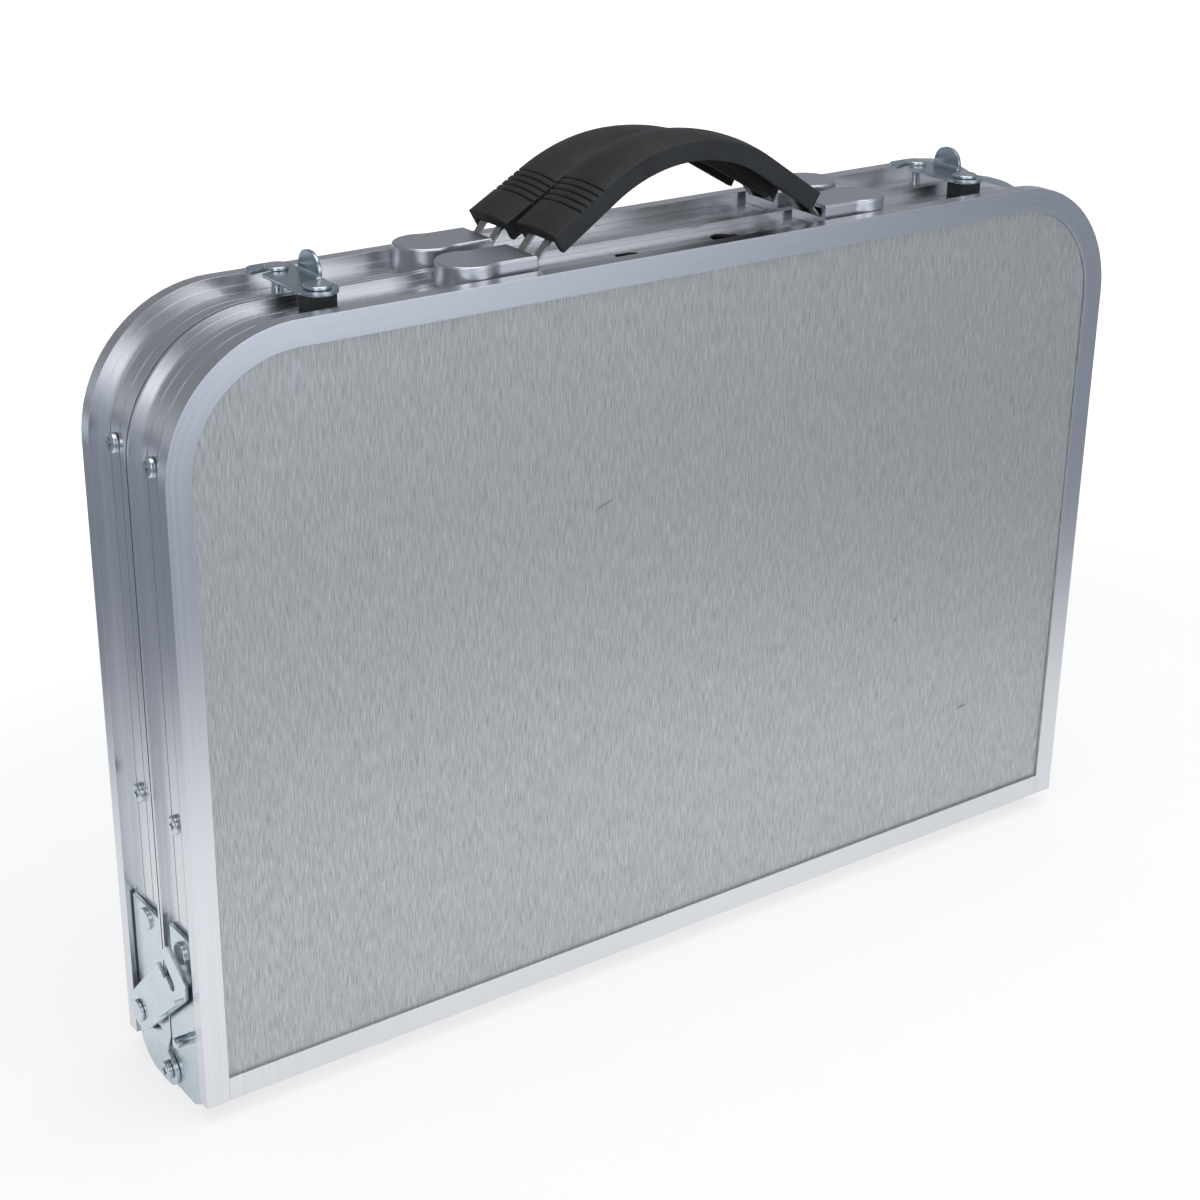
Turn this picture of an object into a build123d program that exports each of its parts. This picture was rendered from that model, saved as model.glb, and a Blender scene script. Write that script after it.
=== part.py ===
from build123d import *
import math
import os

# Folding case table: two shallow halves, each a bent aluminium frame round a thin
# laminate panel, hinged along the bottom, latched and carried at the top.
# X runs along the width, Y from the front face to the rear face, Z up.
# Millimetres. The ground is at Z = 0, under the hinge knuckles.

# Closed case
WIDTH = 600.0
HEIGHT = 400.0
DEPTH = 90.0
CORNER_R = 70.0
KNUCKLE_DROP = 11.0
SEAM_GAP = 1.2

# Clearances
FIT = 0.05
SHEET_GAP = 0.3
PANEL_PLAY = 0.2
BUTT_GAP = 0.1
SLIDE_FIT = 0.2
AXLE_END_GAP = 1.4

# Frame extrusion, measured across the depth and inward from the outside
LIP_W = 8.0
CHANNEL_DEPTH = 5.5
WEB = 2.0
RIDGE_W = 2.0
RIDGE_DROP = 2.0
FLANGE_W = 13.0
FLANGE_T = 1.6
LEDGE_W = 3.5
LEDGE_T = 2.0
GROOVE_W = 1.0
GROOVE_DEPTH = 0.5
GROOVE_PITCH = 10.0
PANEL_T = 3.0
TOP_HOLE_X = 36.0
TOP_HOLE_D = 17.0
TOP_SLOT_X = -28.0
TOP_SLOT_L = 14.0
TOP_SLOT_W = 8.0

# Corner angles inside the lower corners
BRACKET_LEG = 30.0
BRACKET_W = 15.0
BRACKET_Y = 11.0
BRACKET_T = 2.5

# Fasteners
SCREW_D = 4.9
SCREW_HEAD_D = 10.0
SCREW_HEAD_H = 2.6
RIVET_D = 4.8
RIVET_HEAD_D = 12.0
RIVET_HEAD_H = 1.6
TAIL_D = 8.0
TAIL_H = 1.5
UPPER_SCREW_DROP = 65.0
SIDE_SCREW_PITCH = 185.0

# Hinge plates in the end channels, heights above the rails
PLATE_T = 2.0
FRONT_PLATE_TOP = 88.5
REAR_PLATE_TOP = 85.0
PLATE_NEAR = 5.0
PLATE_EDGE_GAP = 2.0
PLATE_MEET = 1.0
FRONT_PLATE_NEAR = 7.5
PLATE_RIVET_Z = 77.5
PIVOT_DROP = 2.5
PIVOT_D = 5.0
NOTCH_H = 44.0
FOOT_FRONT = 24.0
FOOT_REAR = 8.0
ARM_R = 23.0
JOGGLE_TOP = 16.0
JOGGLE_H = 6.0

# Lock levers and the pins that they hook when the table lies flat
LEVER_Y = 24.0
LEVER_Z = 22.0
LOCK_PIN_Z = 29.5
LOCK_PIN_D = 5.8
LOCK_PIN_OUT = 9.2
LEVER_T = 2.0
LEVER_STANDOFF = 1.5
LEVER_HALF_W = 11.0
LEVER_FINGER = 13.5
LEVER_REACH = 18.0
LEVER_CORNER_R = 2.0
LEVER_TAB = 5.0
LEVER_TAB_L = 30.0
LEVER_ANGLE = 138.0
HOOK_PLAY = 0.35
HOOK_SWEEP = 60.0
HOOK_LEAD = 6.0

# Top latches
LATCH_INSET = 94.0
LATCH_RISE = 3.2
LATCH_T = 1.8
LATCH_HALF_W = 10.0
LATCH_FINGER = 8.5
LATCH_REACH = 13.0
LATCH_TAB_W = 20.0
LATCH_TAB_H = 13.0
LATCH_TAB_BACK = 3.5
LATCH_BEND_R = 2.0
LATCH_HEAD_D = 13.4
BLOCK_W = 14.5
BLOCK_D = 12.5
STUD_D = 6.0

# Handle caps and strap handles
CAP_IN = 92.0
CAP_OUT = 140.0
CAP_W = 27.5
CAP_LOBE_D = 32.0
CAP_RISE = 6.5
CAP_ROOF = 2.1
CAP_EDGE_R = 1.3
CAP_WAIST_R = 12.0
POST_D = 7.0
GRIP_W = 34.0
GRIP_SIDE = 10.0
GRIP_CROWN = 2.4
GRIP_BENT = 56.0
GRIP_FLANK = 38.0
GRIP_SLOPE_FRONT = 33.5
GRIP_SLOPE_REAR = 29.5
GRIP_END_FRONT = 15.0
GRIP_END_REAR = 13.5
GRIP_HOLLOW_W = 27.0
STRIP_W = 19.0
STRIP_T = 1.2
STRIP_SLOT_W = 9.4
STRIP_Z = 0.8
STRIP_END = 118.0
STRIP_SLOT_END = 115.0
RIB_COUNT = 5
RIB_START = 19.0
RIB_PITCH = 4.0
RIB_W = 1.2
RIB_DEPTH = 0.8

# Folding telescopic legs
LEG_D = 20.0
LEG_WALL = 1.5
INNER_WALL = 1.5
AXLE_D = 12.0
LEG_HEAD = 12.0
LEG_L = 220.0
INNER_TOP = 10.0
LEG_INSET = 22.5
LEG_PITCH = 25.0
FOOT_GAP = 17.0
FOOT_D = 23.0
FOOT_H = 25.0
FOOT_SOCKET = 13.0
CLIP_T = 1.7
CLIP_H = 14.0
CLIP_ARM = 10.0
NUT_PLATE = 16.0
NUT_PLATE_T = 4.0

# Places that follow from the sizes above
RAIL_Z = KNUCKLE_DROP
TOP_Z = RAIL_Z + HEIGHT
FACE_Y = DEPTH / 2
SEAM_Y = SEAM_GAP / 2
LIP_Y = FACE_Y - LIP_W
RIDGE_Y = SEAM_Y + RIDGE_W
CHAN_Y = (RIDGE_Y + LIP_Y) / 2
INNER_T = CHANNEL_DEPTH + WEB
FLOOR_X = WIDTH / 2 - CHANNEL_DEPTH
WEB_X = WIDTH / 2 - INNER_T
FLOOR_Z = TOP_Z - CHANNEL_DEPTH
WEB_Z = TOP_Z - INNER_T
PANEL_OUT_Y = FACE_Y - FLANGE_T - PANEL_PLAY
PANEL_IN_Y = PANEL_OUT_Y - PANEL_T
LEDGE_Y = PANEL_IN_Y - PANEL_PLAY
PIVOT_Z = RAIL_Z - PIVOT_DROP
KNUCKLE_R = KNUCKLE_DROP - PIVOT_DROP
PLATE_FAR = LIP_Y - PLATE_EDGE_GAP
PLATE_X = FLOOR_X + SHEET_GAP
PLATE_OUT_X = PLATE_X + PLATE_T
ARM_X = PLATE_OUT_X + SHEET_GAP
ARM_OUT_X = ARM_X + PLATE_T
LEVER_X = ARM_OUT_X + LEVER_STANDOFF
LEVER_OUT_X = LEVER_X + LEVER_T
LEVER_AXIS_Z = RAIL_Z + LEVER_Z
LOCK_AXIS_Z = RAIL_Z + LOCK_PIN_Z
HOOK_R = LOCK_AXIS_Z - (2 * PIVOT_Z - LEVER_AXIS_Z)
LATCH_X = WIDTH / 2 - LATCH_INSET
LATCH_Z = TOP_Z + LATCH_RISE
LATCH_TOP_Z = LATCH_Z + LATCH_T
STUD_R = 2 * CHAN_Y
CAP_TOP_Z = TOP_Z + CAP_RISE
CAP_ROOF_Z = CAP_TOP_Z - CAP_ROOF
STRIP_MID_Z = TOP_Z + STRIP_Z
UPPER_SCREW_Z = HEIGHT - UPPER_SCREW_DROP
LOWER_SCREW_Z = UPPER_SCREW_Z - SIDE_SCREW_PITCH
AXLE_Z = RAIL_Z + UPPER_SCREW_Z
INNER_D = LEG_D - 2 * LEG_WALL - 2 * SLIDE_FIT
INNER_L = LEG_L + FOOT_GAP + FOOT_SOCKET - INNER_TOP
LEG_X_FRONT = WEB_X - LEG_INSET
LEG_X_REAR = LEG_X_FRONT - LEG_PITCH


def rounded_top(inset):
    """Outline of one half seen from the front, with its two upper corners rounded."""
    half = WIDTH / 2 - inset
    top = TOP_Z - inset
    face = Pos(0, (RAIL_Z + top) / 2) * Rectangle(2 * half, top - RAIL_Z)
    upper = face.vertices().group_by(Axis.Y)[-1]
    return fillet(upper, CORNER_R - inset)


def across(sketch, y0, y1):
    """Sketch in X and Z pulled through the depth from y0 to y1."""
    return Pos(0, y1, 0) * extrude(Plane.XZ * sketch, y1 - y0)


def outward(sketch, x0, x1):
    """Sketch in Y and Z pulled along the width from x0 to x1."""
    return Pos(x0, 0, 0) * extrude(Plane.YZ * sketch, x1 - x0)


def upward(sketch, z0, z1):
    """Sketch in X and Y pulled up from z0 to z1."""
    return Pos(0, 0, z0) * extrude(Plane.XY * sketch, z1 - z0)


def block(x0, x1, y0, y1, z0, z1):
    return Pos((x0 + x1) / 2, (y0 + y1) / 2, (z0 + z1) / 2) * Box(x1 - x0, y1 - y0, z1 - z0)


def rod_x(y, z, radius, x0, x1):
    return Pos((x0 + x1) / 2, y, z) * Rot(0, 90, 0) * Cylinder(radius, x1 - x0)


def rod_z(x, y, radius, z0, z1):
    return Pos(x, y, (z0 + z1) / 2) * Cylinder(radius, z1 - z0)


def polygon(*points):
    return make_face(Polyline(*points, close=True))


def to_front(shape):
    return mirror(shape, about=Plane.XZ)


def to_left(shape):
    return mirror(shape, about=Plane.YZ)


def both_ends(shape):
    return [shape, to_left(shape)]


# The extrusion as rectangles: inward from the outside, then outward from the seam.
SECTION = [
    (0.0, INNER_T, LIP_Y, FACE_Y),
    (INNER_T, FLANGE_W, FACE_Y - FLANGE_T, FACE_Y),
    (INNER_T, INNER_T + LEDGE_W, LEDGE_Y - LEDGE_T, LEDGE_Y),
    (CHANNEL_DEPTH, INNER_T, SEAM_Y, LIP_Y),
    (RIDGE_DROP, CHANNEL_DEPTH, SEAM_Y, RIDGE_Y),
]
GROOVES = [
    (CHAN_Y + side * GROOVE_PITCH / 2 - GROOVE_W / 2, CHAN_Y + side * GROOVE_PITCH / 2 + GROOVE_W / 2)
    for side in (-1, 1)
]


def frame_bow():
    """Sides and top of one frame, bent from one length of the extrusion."""
    bow = None
    for t0, t1, y0, y1 in SECTION:
        run = across(rounded_top(t0) - rounded_top(t1), y0, y1)
        bow = run if bow is None else bow + run
    for y0, y1 in GROOVES:
        bow -= across(rounded_top(CHANNEL_DEPTH) - rounded_top(CHANNEL_DEPTH + GROOVE_DEPTH), y0, y1)
    for end in both_ends(block(FLOOR_X, WIDTH / 2, 0, RIDGE_Y, RAIL_Z, RAIL_Z + NOTCH_H)):
        bow -= end
    for z in (UPPER_SCREW_Z, LOWER_SCREW_Z):
        for hole in both_ends(rod_x(CHAN_Y, RAIL_Z + z, SCREW_D / 2 + FIT, WEB_X - WEB, FLOOR_X)):
            bow -= hole
    for hole in both_ends(rod_x(CHAN_Y, RAIL_Z + PLATE_RIVET_Z, RIVET_D / 2 + FIT, WEB_X, FLOOR_X)):
        bow -= hole
    for sign in (-1, 1):
        bow -= rod_z(sign * LATCH_X, CHAN_Y, RIVET_D / 2 + FIT, WEB_Z, FLOOR_Z)
        bow -= rod_z(sign * cap_lobe_x(), CHAN_Y, SCREW_D / 2 + FIT, WEB_Z, FLOOR_Z)
    return bow


def bottom_rail():
    """Straight lower length of the extrusion, butted between the two sides."""
    half = WIDTH / 2 - FLANGE_W - BUTT_GAP
    rail = None
    for t0, t1, y0, y1 in SECTION:
        run = block(-half, half, y0, y1, RAIL_Z + t0, RAIL_Z + t1)
        rail = run if rail is None else rail + run
    for y0, y1 in GROOVES:
        rail -= block(-half, half, y0, y1, RAIL_Z + CHANNEL_DEPTH, RAIL_Z + CHANNEL_DEPTH + GROOVE_DEPTH)
    return rail


def panel():
    """Flat laminate sheet held between the flange and the ledge of the frame."""
    inset = INNER_T + SHEET_GAP
    lower = RAIL_Z + inset
    keep = Pos(0, (lower + TOP_Z) / 2) * Rectangle(WIDTH, TOP_Z - lower)
    return across(rounded_top(inset) & keep, PANEL_IN_Y, PANEL_OUT_Y)


def corner_bracket():
    """Pressed angle that ties the rail to the right-hand side inside the corner."""
    x1 = WEB_X - SHEET_GAP
    z0 = RAIL_Z + INNER_T + SHEET_GAP
    y0 = BRACKET_Y - BRACKET_W / 2
    y1 = BRACKET_Y + BRACKET_W / 2
    upright = block(x1 - BRACKET_T, x1, y0, y1, z0, z0 + BRACKET_LEG)
    return upright + block(x1 - BRACKET_LEG, x1, y0, y1, z0, z0 + BRACKET_T)


def pan_screw(length):
    """Cross-recess screw along X: head outward from X = 0, shank inward."""
    head = Pos(SCREW_HEAD_H / 2, 0, 0) * Rot(0, 90, 0) * Cylinder(SCREW_HEAD_D / 2, SCREW_HEAD_H)
    head = fillet(head.edges().group_by(Axis.X)[-1], SCREW_HEAD_H * 0.45)
    bar = SCREW_HEAD_D * 0.55
    for across_y, across_z in ((bar, SCREW_HEAD_D / 8), (SCREW_HEAD_D / 8, bar)):
        head -= Pos(SCREW_HEAD_H, 0, 0) * Box(SCREW_HEAD_H, across_y, across_z)
    return head + rod_x(0, 0, SCREW_D / 2, -length, 0)


def flat_rivet(grip, shank_d=RIVET_D, head_d=RIVET_HEAD_D):
    """Flat-headed rivet along X: head outward from X = 0, upset tail past the grip."""
    head = Pos(RIVET_HEAD_H / 2, 0, 0) * Rot(0, 90, 0) * Cylinder(head_d / 2, RIVET_HEAD_H)
    head = fillet(head.edges().group_by(Axis.X)[-1], RIVET_HEAD_H * 0.45)
    tail = rod_x(0, 0, TAIL_D / 2, -grip - TAIL_H, -grip)
    return head + rod_x(0, 0, shank_d / 2, -grip, 0) + tail


def upright(shape):
    """A fastener made along X, turned so that its head points up."""
    return Rot(0, -90, 0) * shape


def side_screws():
    """Two screws in each end channel of one half: leg axle above, leg clip below."""
    screws = []
    for z in (UPPER_SCREW_Z, LOWER_SCREW_Z):
        depth = WEB + AXLE_END_GAP + SCREW_D * 2 if z == UPPER_SCREW_Z else WEB + SHEET_GAP + NUT_PLATE_T
        screws += both_ends(Pos(FLOOR_X, CHAN_Y, RAIL_Z + z) * pan_screw(depth))
    return screws


def front_plate_outline():
    """Front hinge plate in Y and Z, with the flat foot that the case stands on."""
    foot_rise = RAIL_Z * 0.6
    plate = polygon(
        (-PLATE_FAR, RAIL_Z + FRONT_PLATE_TOP),
        (-FRONT_PLATE_NEAR, RAIL_Z + FRONT_PLATE_TOP),
        (-FRONT_PLATE_NEAR, RAIL_Z + NOTCH_H - PLATE_MEET),
        (-PLATE_MEET, RAIL_Z + NOTCH_H - PLATE_MEET),
        (-PLATE_MEET, PIVOT_Z + FOOT_REAR),
        (FOOT_REAR * 0.7, PIVOT_Z + FOOT_REAR * 0.7),
        (FOOT_REAR, PIVOT_Z),
        (FOOT_REAR, 0),
        (-FOOT_FRONT, 0),
        (-PLATE_FAR, foot_rise),
    )
    return plate


def front_hinge_plate():
    plate = outward(front_plate_outline(), PLATE_X, PLATE_OUT_X)
    plate -= rod_x(0, PIVOT_Z, PIVOT_D / 2 + FIT, PLATE_X, PLATE_OUT_X)
    plate -= rod_x(-CHAN_Y, RAIL_Z + PLATE_RIVET_Z, RIVET_D / 2 + FIT, PLATE_X, PLATE_OUT_X)
    plate -= rod_x(-LEVER_Y, LOCK_AXIS_Z, LOCK_PIN_D / 2 + FIT, PLATE_X, PLATE_OUT_X)
    return plate


def rear_hinge_plate():
    """Rear hinge plate, stepped outward below into the arm that covers the knuckle."""
    step_z = RAIL_Z + JOGGLE_TOP
    step_end = step_z - JOGGLE_H
    low = PIVOT_Z - KNUCKLE_R
    strip = polygon(
        (PLATE_X, RAIL_Z + REAR_PLATE_TOP),
        (PLATE_OUT_X, RAIL_Z + REAR_PLATE_TOP),
        (PLATE_OUT_X, step_z),
        (ARM_OUT_X, step_end),
        (ARM_OUT_X, low),
        (ARM_X, low),
        (ARM_X, step_end - PLATE_T / 2),
        (PLATE_X, step_z - PLATE_T / 2),
    )
    lean = KNUCKLE_R * math.sqrt(0.5)
    outline = polygon(
        (PLATE_NEAR, RAIL_Z + REAR_PLATE_TOP),
        (PLATE_FAR, RAIL_Z + REAR_PLATE_TOP),
        (PLATE_FAR, low + ARM_R),
        (PLATE_FAR - ARM_R, low),
        (0, low),
        (-lean, PIVOT_Z + lean),
        (PLATE_MEET, step_end - PLATE_T / 2),
        (PLATE_MEET, RAIL_Z + NOTCH_H - PLATE_MEET),
        (PLATE_NEAR, RAIL_Z + NOTCH_H - PLATE_MEET),
    )
    outline += Pos(0, PIVOT_Z) * Circle(KNUCKLE_R)
    quarter = Pos(PLATE_FAR - ARM_R / 2, low + ARM_R / 2) * Rectangle(ARM_R, ARM_R)
    outline += Pos(PLATE_FAR - ARM_R, low + ARM_R) * Circle(ARM_R) & quarter
    plate = across(strip, -PLATE_FAR, PLATE_FAR) & outward(outline, PLATE_X, ARM_OUT_X)
    plate -= rod_x(0, PIVOT_Z, PIVOT_D / 2 + FIT, ARM_X, ARM_OUT_X)
    plate -= rod_x(CHAN_Y, RAIL_Z + PLATE_RIVET_Z, RIVET_D / 2 + FIT, PLATE_X, PLATE_OUT_X)
    plate -= rod_x(LEVER_Y, LEVER_AXIS_Z, PIVOT_D / 2 + FIT, PLATE_X, PLATE_OUT_X)
    return plate


def pivot_screw():
    """Shouldered screw through both hinge plates, the axis that the halves fold on."""
    head = Pos(ARM_OUT_X + SHEET_GAP, 0, PIVOT_Z) * pan_screw(0.5)
    return head + rod_x(0, PIVOT_Z, PIVOT_D / 2, PLATE_X, ARM_OUT_X + SHEET_GAP)


def plate_rivet():
    return Pos(PLATE_OUT_X, CHAN_Y, RAIL_Z + PLATE_RIVET_Z) * flat_rivet(PLATE_OUT_X - WEB_X)


def lock_pin():
    """Plain pin on the front plate, upset inside the frame, that a lever hooks."""
    pin = rod_x(-LEVER_Y, LOCK_AXIS_Z, LOCK_PIN_D / 2, WEB_X, PLATE_OUT_X + LOCK_PIN_OUT)
    pin = chamfer(pin.edges().group_by(Axis.X)[-1], LOCK_PIN_D / 8)
    return pin + rod_x(-LEVER_Y, LOCK_AXIS_Z, TAIL_D / 2, WEB_X - TAIL_H, WEB_X)


def lever_rivet():
    """Shouldered rivet that carries a lock lever clear of the frame."""
    shoulder = rod_x(LEVER_Y, LEVER_AXIS_Z, PIVOT_D, PLATE_OUT_X, LEVER_X - SHEET_GAP)
    head = Pos(LEVER_OUT_X + SHEET_GAP, LEVER_Y, LEVER_AXIS_Z)
    return shoulder + head * flat_rivet(LEVER_OUT_X + SHEET_GAP - WEB_X, PIVOT_D)


def ring_sector(radius, half_width, start, sweep):
    """Flat band round the origin from one angle through a sweep, in degrees."""
    outer = radius + half_width
    far = outer * 2
    band = Circle(outer) - Circle(radius - half_width)
    a0 = math.radians(start)
    a1 = math.radians(start + sweep)
    first = (far * math.cos(a0), far * math.sin(a0))
    last = (far * math.cos(a1), far * math.sin(a1))
    wedge = polygon((0, 0), first, last)
    return band & wedge


def lock_lever():
    """Hooked lever with a bent thumb edge, parked pointing up across the seam."""
    mouth = LOCK_PIN_D / 2 + HOOK_PLAY
    tip = HOOK_R + mouth + LEVER_FINGER
    bar = polygon(
        (0, -LEVER_HALF_W),
        (tip - LEVER_FINGER / 2, -LEVER_HALF_W),
        (tip, -LEVER_HALF_W + LEVER_FINGER / 2),
        (tip, 0),
        (tip - LEVER_FINGER / 3, LEVER_REACH),
        (HOOK_R + mouth * 1.2, LEVER_REACH),
        (HOOK_R, LEVER_HALF_W + mouth),
        (HOOK_R - mouth * 2, LEVER_HALF_W + mouth),
        (0, LEVER_HALF_W),
    )
    bar = fillet([corner for corner in bar.vertices() if corner.X > LEVER_CORNER_R], LEVER_CORNER_R)
    bar += Circle(LEVER_HALF_W)
    bar -= ring_sector(HOOK_R, mouth, 0, HOOK_SWEEP)
    bar -= ring_sector(HOOK_R - mouth, mouth, HOOK_LEAD, HOOK_SWEEP)
    bar -= Pos(HOOK_R, 0) * Circle(mouth)
    bar -= Circle(PIVOT_D / 2 + FIT)
    lever = Pos(LEVER_X, 0, 0) * extrude(Plane.YZ * bar, LEVER_T)
    tab_end = tip - LEVER_FINGER / 2
    tab = block(LEVER_X, LEVER_OUT_X + LEVER_TAB, tab_end - LEVER_TAB_L, tab_end,
                -LEVER_HALF_W, -LEVER_HALF_W + LEVER_T)
    # The outline's second axis is turned over so that the hook's mouth leads upward.
    lever = mirror(lever + tab, about=Plane.XY)
    return Pos(0, LEVER_Y, LEVER_AXIS_Z) * Rot(LEVER_ANGLE, 0, 0) * lever


def latch_plate():
    """Swinging hook plate with a thumb tab, made round its pivot and pointing to +Y."""
    mouth = STUD_D / 2 + HOOK_PLAY
    tip = STUD_R + mouth + LATCH_FINGER
    plate = polygon(
        (-LATCH_HALF_W, 0),
        (LATCH_HALF_W, 0),
        (LATCH_HALF_W, tip),
        (-LATCH_REACH, tip),
        (-LATCH_REACH, STUD_R),
        (-LATCH_HALF_W, STUD_R),
    )
    plate = fillet(plate.vertices().group_by(Axis.Y)[-1], LATCH_FINGER * 0.8)
    plate += Circle(LATCH_HALF_W)
    plate -= ring_sector(STUD_R, mouth, 90, HOOK_SWEEP)
    plate -= Pos(0, STUD_R) * Circle(mouth)
    plate -= Circle(RIVET_D / 2 + FIT)
    tab = Pos(CHAN_Y + LATCH_TAB_BACK, LATCH_TAB_H / 2) * Rectangle(LATCH_TAB_W, LATCH_TAB_H)
    tab = fillet(tab.vertices().group_by(Axis.Y)[-1], LATCH_TAB_W * 0.45)
    tab = Pos(0, 0, LATCH_Z) * outward(tab, LATCH_HALF_W - LATCH_T, LATCH_HALF_W)
    latch = upward(plate, LATCH_Z, LATCH_TOP_Z) + tab
    root = Pos(LATCH_HALF_W - LATCH_T, CHAN_Y + LATCH_TAB_BACK, LATCH_TOP_Z)
    bend = latch.edges().filter_by(Axis.Y).sort_by_distance(root.position)[0]
    return fillet(bend, LATCH_BEND_R)


def latch_block():
    """Black spacer block that lifts a latch above the front channel."""
    body = Box(BLOCK_W, BLOCK_D, LATCH_Z - SHEET_GAP - FLOOR_Z)
    body = fillet(body.edges().filter_by(Axis.Z), BLOCK_D / 12)
    body = Pos(0, 0, (LATCH_Z - SHEET_GAP + FLOOR_Z) / 2) * body
    return body - rod_z(0, 0, RIVET_D / 2 + FIT, FLOOR_Z, LATCH_Z)


def latch_rivet():
    top = LATCH_TOP_Z + SHEET_GAP
    return Pos(0, 0, top) * upright(flat_rivet(top - WEB_Z, RIVET_D, LATCH_HEAD_D))


def latch_stud():
    """Mushroom stud on the rear channel that the latch hooks behind."""
    top = LATCH_TOP_Z + SHEET_GAP
    neck = rod_z(0, 0, STUD_D / 2, FLOOR_Z, top)
    return neck + Pos(0, 0, top) * upright(flat_rivet(top - WEB_Z))


def cap_lobe_x():
    return CAP_OUT - CAP_LOBE_D / 2


def handle_cap():
    """Cast cap over one end of a handle strip: straight neck, round outer lobe."""
    lobe_x = cap_lobe_x()
    plan = Pos((CAP_IN + lobe_x) / 2, CHAN_Y) * Rectangle(lobe_x - CAP_IN, CAP_W)
    plan += Pos(lobe_x, CHAN_Y) * Circle(CAP_LOBE_D / 2)
    waist = [corner for corner in plan.vertices() if CAP_IN + CAP_EDGE_R < corner.X < lobe_x]
    plan = fillet(waist, CAP_WAIST_R)
    cap = upward(plan, FLOOR_Z, CAP_TOP_Z)
    cap = fillet(cap.faces().sort_by(Axis.Z)[-1].edges(), CAP_EDGE_R)
    inner = STRIP_W / 2 + SHEET_GAP * 2
    shelf = STRIP_MID_Z - STRIP_T / 2 - SHEET_GAP
    cap -= block(CAP_IN, STRIP_END + SHEET_GAP * 3, CHAN_Y - inner, CHAN_Y + inner, shelf, CAP_ROOF_Z)
    post_x = STRIP_SLOT_END - POST_D / 2 - SHEET_GAP
    cap += rod_z(post_x, CHAN_Y, POST_D / 2, FLOOR_Z, CAP_ROOF_Z)
    return cap - rod_z(lobe_x, CHAN_Y, SCREW_D / 2 + FIT, FLOOR_Z, CAP_ROOF_Z)


def cap_screws():
    """Screws from inside the frame into the lobes of the two caps of one half."""
    screw = Rot(0, 180, 0) * upright(pan_screw(CAP_ROOF_Z - WEB_Z - SHEET_GAP))
    return [Pos(sign * cap_lobe_x(), CHAN_Y, WEB_Z) * screw for sign in (-1, 1)]


def arch_r(slope):
    """Radius of a grip's upper edges over its bent middle, for one slope of its ends."""
    return GRIP_BENT / math.radians(slope)


def arch_z(slope, end_z):
    """Height of the bend's centre that puts the ends of the upper edges at end_z."""
    angle = math.radians(slope)
    return TOP_Z + end_z + GRIP_FLANK * math.sin(angle) - arch_r(slope) * math.cos(angle)


def along_arch(section, slope, end_z):
    """Section in height above the upper edges and Y, run over the bend and both ends."""
    face = Plane(origin=(0, 0, 0), x_dir=(0, 0, 1), z_dir=(1, 0, 0)) * (Pos(arch_r(slope), 0) * section)
    middle = revolve(face, Axis((0, 0, 0), (0, 1, 0)), 2 * slope)
    run = Rot(0, -slope, 0) * middle
    for flank in both_ends(Rot(0, slope, 0) * extrude(face, GRIP_FLANK)):
        run += flank
    return Pos(0, CHAN_Y, arch_z(slope, end_z)) * run


def grip_outline(drop):
    """Crowned section of the grip, its top lowered by a drop."""
    half = GRIP_W / 2
    top = ThreePointArc((-drop, half), (GRIP_CROWN - drop, 0), (-drop, -half))
    rest = Polyline((-drop, -half), (-GRIP_SIDE, -half), (-GRIP_SIDE, half), (-drop, half))
    return make_face([top, rest])


def grip(slope, end_z):
    """Moulded strap with a crowned top, a hollow underside and rings near its ends."""
    hollow_top = STRIP_T / 2 + SHEET_GAP - GRIP_SIDE / 2
    hollow_h = hollow_top + GRIP_SIDE
    section = grip_outline(0) - Pos(hollow_top - hollow_h / 2, 0) * Rectangle(hollow_h, GRIP_HOLLOW_W)
    body = along_arch(section, slope, end_z)
    band = Pos(arch_r(slope), 0) * (grip_outline(0) - grip_outline(RIB_DEPTH))
    ring = extrude(Plane(origin=(0, 0, 0), x_dir=(0, 0, 1), z_dir=(1, 0, 0)) * band, RIB_W)
    for index in range(RIB_COUNT):
        along = GRIP_FLANK - RIB_START - index * RIB_PITCH
        place = Pos(0, CHAN_Y, arch_z(slope, end_z)) * Rot(0, slope, 0) * Pos(along, 0, 0)
        for cut in both_ends(place * ring):
            body -= cut
    return body


def strip_tail(slope, end_z):
    """End of the strip at +X: down from the grip, then level into the cap."""
    angle = math.radians(slope)
    radius = arch_r(slope) - GRIP_SIDE / 2
    start_x = radius * math.sin(angle) + GRIP_FLANK * math.cos(angle)
    start_z = arch_z(slope, end_z) + radius * math.cos(angle) - GRIP_FLANK * math.sin(angle)
    bend_x = CAP_IN - STRIP_T
    fall = math.atan2(start_z - STRIP_MID_Z, bend_x - start_x)
    half = STRIP_T / 2
    upper = [
        (start_x + half * math.sin(angle), start_z + half * math.cos(angle)),
        (bend_x + half * math.tan(fall / 2), STRIP_MID_Z + half),
        (STRIP_END, STRIP_MID_Z + half),
    ]
    lower = [
        (STRIP_END, STRIP_MID_Z - half),
        (bend_x - half * math.tan(fall / 2), STRIP_MID_Z - half),
        (start_x - half * math.sin(angle), start_z - half * math.cos(angle)),
    ]
    return across(polygon(*upper, *lower), CHAN_Y - STRIP_W / 2, CHAN_Y + STRIP_W / 2), start_x


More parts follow.
